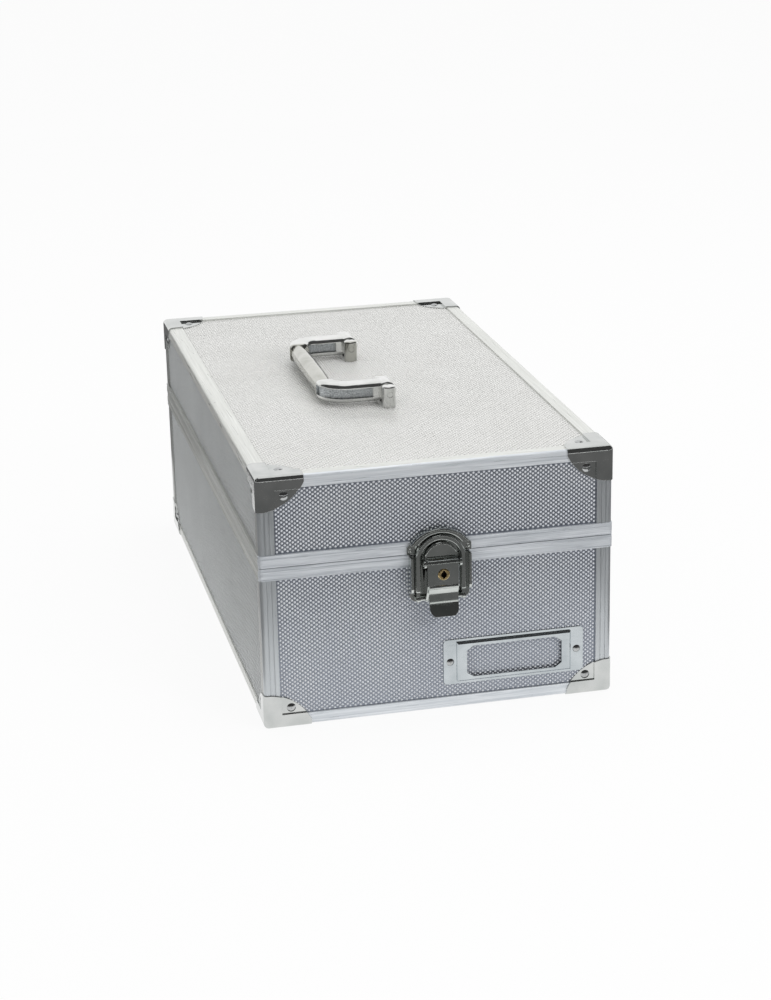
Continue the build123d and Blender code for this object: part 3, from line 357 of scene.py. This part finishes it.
def away(tree, value, centre):
    """How far a coordinate is from a centre, either way."""
    return math_node(tree, "ABSOLUTE", math_node(tree, "SUBTRACT", value, centre))


def along_trims(tree, upright):
    """Two coordinates of a profile: along it and across it."""
    x, y, z = place(tree)
    if upright:
        return z, math_node(tree, "ADD", x, y)
    from_side = math_node(tree, "SUBTRACT", half_w, math_node(tree, "ABSOLUTE", x))
    from_end = math_node(tree, "SUBTRACT", half_d, away(tree, y, mid_y))
    on_side = math_node(tree, "LESS_THAN", from_side, from_end)
    length = between(tree, on_side, x, y)
    across = between(tree, on_side, y, x)
    return length, math_node(tree, "ADD", across, z)


def streaks(tree, length, across, cells, waver):
    """Noise drawn out along a profile, with so many cells per metre along it and across it."""
    stretched = add_node(tree, "ShaderNodeCombineXYZ", {0: math_node(tree, "MULTIPLY", length, cells[0]),
                                                        1: math_node(tree, "MULTIPLY", across, cells[1])})
    return noise(tree, stretched.outputs[0], 1.0, detail=2.0, distortion=waver)


def on_end_faces(tree):
    """1 on the front and back faces, 0 on the sides, top and bottom."""
    y = place(tree)[1]
    return math_node(tree, "GREATER_THAN", away(tree, y, mid_y), half_d - FACE_DEPTH)


def drawn_trim(name, lit_end_tones, shaded_side_tones, metallic, rough, upright):
    """Drawn aluminium profile with long wavy streaks over fine die lines, and softened edges.

    The tones are pairs of a dark and a light one, for the front and back faces and for the others: lit and
    shaded copies of one aluminium, painted lighter on the front and back as painted light.
    """
    paint = paint_of(name, lit_end_tones[1], metallic, rough)
    tree = paint.node_tree
    shader = tree.nodes["Principled BSDF"]
    length, across = along_trims(tree, upright)
    fine = streaks(tree, length, across, DIE_LINES, 0.0)
    wavy = streaks(tree, length, across, WAVY_STREAKS, STREAK_WAVER)
    both = average(tree, fine, wavy)
    share = spread(tree, both, 0.0, 1.0)
    on_side = tint(tree, share, *shaded_side_tones)
    on_end = tint(tree, share, *lit_end_tones)
    # Painted light: the front and back faces take the lighter tones, the other faces the darker ones
    tree.links.new(tint(tree, on_end_faces(tree), on_side, on_end), shader.inputs["Base Color"])
    vary_roughness(tree, wavy, rough, TRIM_SHARES)
    bump(tree, both, TRIM_RELIEF, shader.inputs["Normal"], TRIM_EDGE)
    return paint


def skin_aluminium(name, dark, light, metallic, rough):
    """Satin aluminium of the skins, with a fine grain and faint cloudy changes of tone."""
    paint = paint_of(name, light, metallic, rough)
    tree = paint.node_tree
    shader = tree.nodes["Principled BSDF"]
    spot = spot_in(tree)
    grain = noise(tree, spot, SKIN_GRAIN)
    cloud = noise(tree, spot, SKIN_CLOUD)
    tree.links.new(tone(tree, average(tree, grain, cloud), dark, light), shader.inputs["Base Color"])
    vary_roughness(tree, cloud, rough, SKIN_SHARES)
    bump(tree, grain, SKIN_RELIEF, shader.inputs["Normal"])
    return paint


def plated(name, dark, light, rough, soften):
    """Bright plating with faint clouding, hairline scratches and rounded edges."""
    paint = paint_of(name, light, 1.0, rough)
    tree = paint.node_tree
    shader = tree.nodes["Principled BSDF"]
    spot = spot_in(tree)
    cloud = noise(tree, spot, PLATING_CLOUD)
    stretched = add_node(tree, "ShaderNodeMapping", {"Vector": spot, "Scale": SCRATCHES,
                                                     "Rotation": SCRATCH_TURN}).outputs[0]
    scratch = noise(tree, stretched, 1.0, detail=1.0)
    tree.links.new(tone(tree, cloud, dark, light), shader.inputs["Base Color"])
    vary_roughness(tree, scratch, rough, PLATING_SHARES)
    bump(tree, scratch, SCRATCH_RELIEF, shader.inputs["Normal"], soften)
    return paint


def cast_handle():
    """One plating in two painted tones, lighter on the arms as a painted highlight and greyer on the grip
    as painted shade, with a sanded floor in the arms' recesses.
    """
    paint = paint_of("handle_chrome", (0.80, 0.80, 0.77), 1.0, 0.14)
    tree = paint.node_tree
    shader = tree.nodes["Principled BSDF"]
    spot = spot_in(tree)
    x, y, z = place(tree)
    low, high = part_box("handle_pins")
    beside = math_node(tree, "LESS_THAN", away(tree, z, (low[2] + high[2]) / 2), SAND_HALF_H)
    past_grip = math_node(tree, "GREATER_THAN", away(tree, y, mid_y), GRIP_HALF)
    past_eye = math_node(tree, "LESS_THAN", x, -SAND_START)
    sanded = math_node(tree, "MULTIPLY", math_node(tree, "MULTIPLY", beside, past_grip), past_eye)
    grain = noise(tree, spot, SAND_GRAIN, detail=4.0)
    cloud = noise(tree, spot, PLATING_CLOUD)
    # Painted light: the arms' tone is a lit copy of the plating and the grip's a shaded one
    arm = tone(tree, cloud, (0.72, 0.73, 0.71), (0.84, 0.84, 0.83))
    grip = tone(tree, cloud, (0.50, 0.50, 0.46), (0.60, 0.60, 0.56))
    sand = tone(tree, grain, (0.34, 0.37, 0.39), (0.88, 0.91, 0.93))
    smooth = tint(tree, past_grip, grip, arm)
    tree.links.new(tint(tree, sanded, smooth, sand), shader.inputs["Base Color"])
    tree.links.new(between(tree, sanded, HANDLE_ROUGH, SAND_ROUGH), shader.inputs["Roughness"])
    relief = math_node(tree, "MULTIPLY", grain, sanded)
    bump(tree, relief, SAND_RELIEF, shader.inputs["Normal"], HANDLE_EDGE)
    return paint


def fibre_board():
    """Edge of the boards under the trims."""
    paint = paint_of("board", (0.42, 0.31, 0.20), 0.0, 0.8)
    tree = paint.node_tree
    shader = tree.nodes["Principled BSDF"]
    fibre = noise(tree, spot_in(tree), BOARD_FIBRE, detail=6.0)
    tree.links.new(tint(tree, fibre, (0.26, 0.18, 0.11), (0.58, 0.44, 0.30)), shader.inputs["Base Color"])
    bump(tree, fibre, BOARD_RELIEF, shader.inputs["Normal"])
    return paint


def felt():
    """Black felt lining with loose fibres."""
    paint = paint_of("lining", (0.030, 0.031, 0.034), 0.0, 0.95)
    tree = paint.node_tree
    shader = tree.nodes["Principled BSDF"]
    shader.inputs["Sheen Weight"].default_value = FELT_SHEEN
    shader.inputs["Sheen Roughness"].default_value = FELT_SHEEN_ROUGH
    spot = spot_in(tree)
    fibres = noise(tree, spot, FELT_FIBRE, detail=6.0)
    patches = noise(tree, spot, FELT_PATCH, detail=4.0)
    both = average(tree, fibres, patches)
    black = tone(tree, both, (0.015, 0.016, 0.018), (0.055, 0.056, 0.060))
    tree.links.new(black, shader.inputs["Base Color"])
    bump(tree, both, FELT_RELIEF, shader.inputs["Normal"])
    return paint


def turned_brass():
    """Brass lock plug with fine turning marks round its own axis and a keyhole painted near black as
    painted shade.
    """
    paint = paint_of("lock_brass", (0.78, 0.60, 0.30), 1.0, 0.2)
    tree = paint.node_tree
    shader = tree.nodes["Principled BSDF"]
    x, y, z = place(tree)
    low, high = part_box("lock_cylinder")
    dx = math_node(tree, "SUBTRACT", x, (low[0] + high[0]) / 2)
    dz = math_node(tree, "SUBTRACT", z, (low[2] + high[2]) / 2)
    reach = math_node(tree, "SQRT", math_node(tree, "ADD", math_node(tree, "MULTIPLY", dx, dx),
                                              math_node(tree, "MULTIPLY", dz, dz)))
    rings = math_node(tree, "SINE", math_node(tree, "MULTIPLY", reach, 2 * math.pi / TURNING_STEP))
    brass = tone(tree, rings, (0.66, 0.48, 0.22), (0.90, 0.73, 0.42))
    # Painted shade: points deep in the keyhole are painted near black
    deep = math_node(tree, "GREATER_THAN", y, low[1] + KEYHOLE_SHADE_INSET)
    inside = math_node(tree, "LESS_THAN", reach, (high[0] - low[0]) / 2 - KEYHOLE_SHADE_INSET)
    tree.links.new(tint(tree, math_node(tree, "MULTIPLY", deep, inside), brass, (0.04, 0.03, 0.02)),
                   shader.inputs["Base Color"])
    bump(tree, rings, TURNING_RELIEF, shader.inputs["Normal"], PLUG_EDGE)
    return paint


# One for each material slot, and a few that some pieces take instead of their slot's
paints = {
    # Skins: every dot paint is much lighter than its face's sheet, as painted highlights on the dots and
    # painted shade between them; each face's copies are also painted lighter or darker for how light falls,
    # darkest on the front and back and lightest on top
    "dot_skin": skin_aluminium("dot_skin", (0.24, 0.26, 0.31), (0.33, 0.36, 0.41),
                               metallic=0.75, rough=0.32),
    "end_dot_highlight": skin_aluminium("end_dot_highlight", (0.88, 0.92, 0.99), (0.97, 0.98, 1.0),
                              metallic=0.2, rough=0.26),
    "side_skin_shade": skin_aluminium("side_skin_shade", (0.38, 0.39, 0.39), (0.48, 0.49, 0.49),
                                metallic=0.7, rough=0.36),
    "side_dot_highlight": skin_aluminium("side_dot_highlight", (0.68, 0.70, 0.70), (0.80, 0.82, 0.82),
                               metallic=0.45, rough=0.34),
    "top_skin": skin_aluminium("top_skin", (0.72, 0.72, 0.70), (0.82, 0.82, 0.80),
                               metallic=0.35, rough=0.34),
    "top_dot": skin_aluminium("top_dot", (0.90, 0.90, 0.88), (0.95, 0.95, 0.94),
                              metallic=0.25, rough=0.28),
    "board": fibre_board(),
    "cap_chrome": plated("cap_chrome", (0.53, 0.55, 0.54), (0.65, 0.66, 0.65),
                         rough=0.09, soften=0.3 * MM),
    "handle_chrome": cast_handle(),
    "latch_chrome": plated("latch_chrome", (0.50, 0.53, 0.51), (0.64, 0.66, 0.64),
                           rough=0.08, soften=0.25 * MM),
    "holder_chrome": plated("holder_chrome", (0.48, 0.52, 0.54), (0.60, 0.64, 0.66),
                            rough=0.14, soften=0.2 * MM),
    "lock_brass": turned_brass(),
    "hinge_steel": plated("hinge_steel", (0.48, 0.49, 0.51), (0.64, 0.65, 0.67),
                          rough=0.28, soften=0.2 * MM),
    "fastener_steel": plated("fastener_steel", (0.42, 0.43, 0.43), (0.56, 0.57, 0.57),
                             rough=0.10, soften=0.1 * MM),
    "lining": felt(),
    # Trims: the front and back tones are painted lighter than the side tones, as painted light for how it
    # falls on each face
    "trim": drawn_trim("trim", ((0.54, 0.58, 0.62), (0.94, 0.97, 1.0)),
                       ((0.56, 0.57, 0.54), (0.86, 0.87, 0.84)),
                       metallic=0.4, rough=0.34, upright=False),
    "rim_trim": drawn_trim("rim_trim", ((0.50, 0.54, 0.58), (0.93, 0.96, 1.0)),
                           ((0.40, 0.41, 0.39), (0.62, 0.63, 0.61)),
                           metallic=0.45, rough=0.38, upright=False),
    "upright_trim": drawn_trim("upright_trim", ((0.55, 0.58, 0.60), (0.65, 0.68, 0.70)),
                               ((0.44, 0.45, 0.44), (0.60, 0.61, 0.60)),
                               metallic=0.8, rough=0.36, upright=True),
}


def dress_nodes():
    """Gives every CAD node its slot's material; some trims, rivets and skins have one of their own."""
    slot_of = {entry["node"]: entry["material_slot"] for entry in frame["record"]["subparts"]}
    for name, piece in frame["nodes"].items():
        finish = slot_of[name]
        if "corner_trims" in name:
            finish = "upright_trim"
        if "rim_trims" in name:
            finish = "rim_trim"
        if name.startswith("latch") and "rivets" in name:
            finish = "latch_chrome"
        # Side and top skins take their own copies of the sheet, painted lighter than the front and back as
        # painted light
        if name.endswith(("left_skin", "right_skin")):
            finish = "side_skin_shade"
        if name.endswith(("top_skin", "bottom_skin")):
            finish = "top_skin"
        piece.data.materials.clear()
        piece.data.materials.append(paints[finish])


# Embossed dots

def dot_spots(across, up, pitch_across, pitch_up):
    """Staggered lattice between two limits on each of a wall's axes."""
    margin = DOT_R
    rows = math.floor((up[1] - up[0] - 2 * margin) / (pitch_up / 2))
    columns = math.floor((across[1] - across[0] - 2 * margin) / pitch_across)
    start_u = (across[0] + across[1] - columns * pitch_across) / 2
    start_v = (up[0] + up[1] - rows * pitch_up / 2) / 2
    spots = []
    for row in range(rows + 1):
        shift = 0.5 * (row % 2)
        for column in range(columns + 1 - row % 2):
            spots.append((start_u + (column + shift) * pitch_across, start_v + row * pitch_up / 2))
    return spots


def dots(name, finish, body, corner, u_axis, v_axis, spots):
    """One mesh of low eight-sided cones, shaded smooth as domes, standing on a skin."""
    corner = Vector(corner)
    u_axis = Vector(u_axis)
    v_axis = Vector(v_axis)
    out = u_axis.cross(v_axis)
    turns = [2 * math.pi * n / DOT_SIDES for n in range(DOT_SIDES)]
    foot = [(DOT_R * math.cos(turn), DOT_R * math.sin(turn)) for turn in turns]
    verts = []
    faces = []
    for u, v in spots:
        first = len(verts)
        for a, b in foot:
            verts.append(corner + (u + a) * u_axis + (v + b) * v_axis - DOT_SINK * out)
        verts.append(corner + u * u_axis + v * v_axis + DOT_H * out)
        for n in range(DOT_SIDES):
            faces.append((first + n, first + (n + 1) % DOT_SIDES, first + DOT_SIDES))
        faces.append(tuple(first + n for n in reversed(range(DOT_SIDES))))
    piece = mesh_piece(name, verts, faces)
    piece.data.polygons.foreach_set("use_smooth", [len(face) == 3 for face in faces])
    piece.data.materials.append(paints[finish])
    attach(piece, body)


def build_dots():
    """Dots on every skin, where the trims leave it bare."""
    wide = (TRIM_LEG - half_w, half_w - TRIM_LEG)
    deep = (front_y + TRIM_LEG, back_y - TRIM_LEG)
    for prefix, body in (("body", "case_body"), ("lid", "lid")):
        up = (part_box(f"{prefix}_corner_trims")[0][2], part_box(f"{prefix}_corner_trims")[1][2])
        skin = {side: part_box(f"{prefix}_{side}_skin") for side in ("front", "back", "left", "right")}
        wide_spots = dot_spots(wide, up, WALL_PITCH_ACROSS, WALL_PITCH_UP)
        deep_spots = dot_spots(deep, up, WALL_PITCH_ACROSS, WALL_PITCH_UP)
        front = (0, skin["front"][0][1], 0)
        back = (0, skin["back"][1][1], 0)
        right = (skin["right"][1][0], 0, 0)
        left = (skin["left"][0][0], 2 * mid_y, 0)
        # The dots' paints are lighter than the sheets under them, as painted highlights
        dots(f"{prefix}_front_dots", "end_dot_highlight", body, front, (1, 0, 0), (0, 0, 1), wide_spots)
        dots(f"{prefix}_back_dots", "end_dot_highlight", body, back, (-1, 0, 0), (0, 0, 1), wide_spots)
        dots(f"{prefix}_right_dots", "side_dot_highlight", body, right, (0, 1, 0), (0, 0, 1), deep_spots)
        dots(f"{prefix}_left_dots", "side_dot_highlight", body, left, (0, -1, 0), (0, 0, 1), deep_spots)
    top_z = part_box("lid_top_skin")[1][2]
    low_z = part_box("body_bottom_skin")[0][2]
    spots = dot_spots(wide, deep, TOP_PITCH_X, TOP_PITCH_Y)
    dots("lid_top_dots", "top_dot", "lid", (0, 0, top_z), (1, 0, 0), (0, 1, 0), spots)
    dots("body_bottom_dots", "top_dot", "case_body", (0, 2 * mid_y, low_z), (1, 0, 0), (0, -1, 0), spots)


build_camera()
build_world()
build_floor()
build_floor_card()
build_hood()
build_lamp("top_lamp", TOP_LAMP_W, TOP_LAMP_SIZE, TOP_LAMP_AT)
build_lamp("front_lamp", FRONT_LAMP_W, FRONT_LAMP_SIZE, FRONT_LAMP_AT)
dress_nodes()
build_dots()
bpy.context.scene.view_settings.view_transform = "Standard"
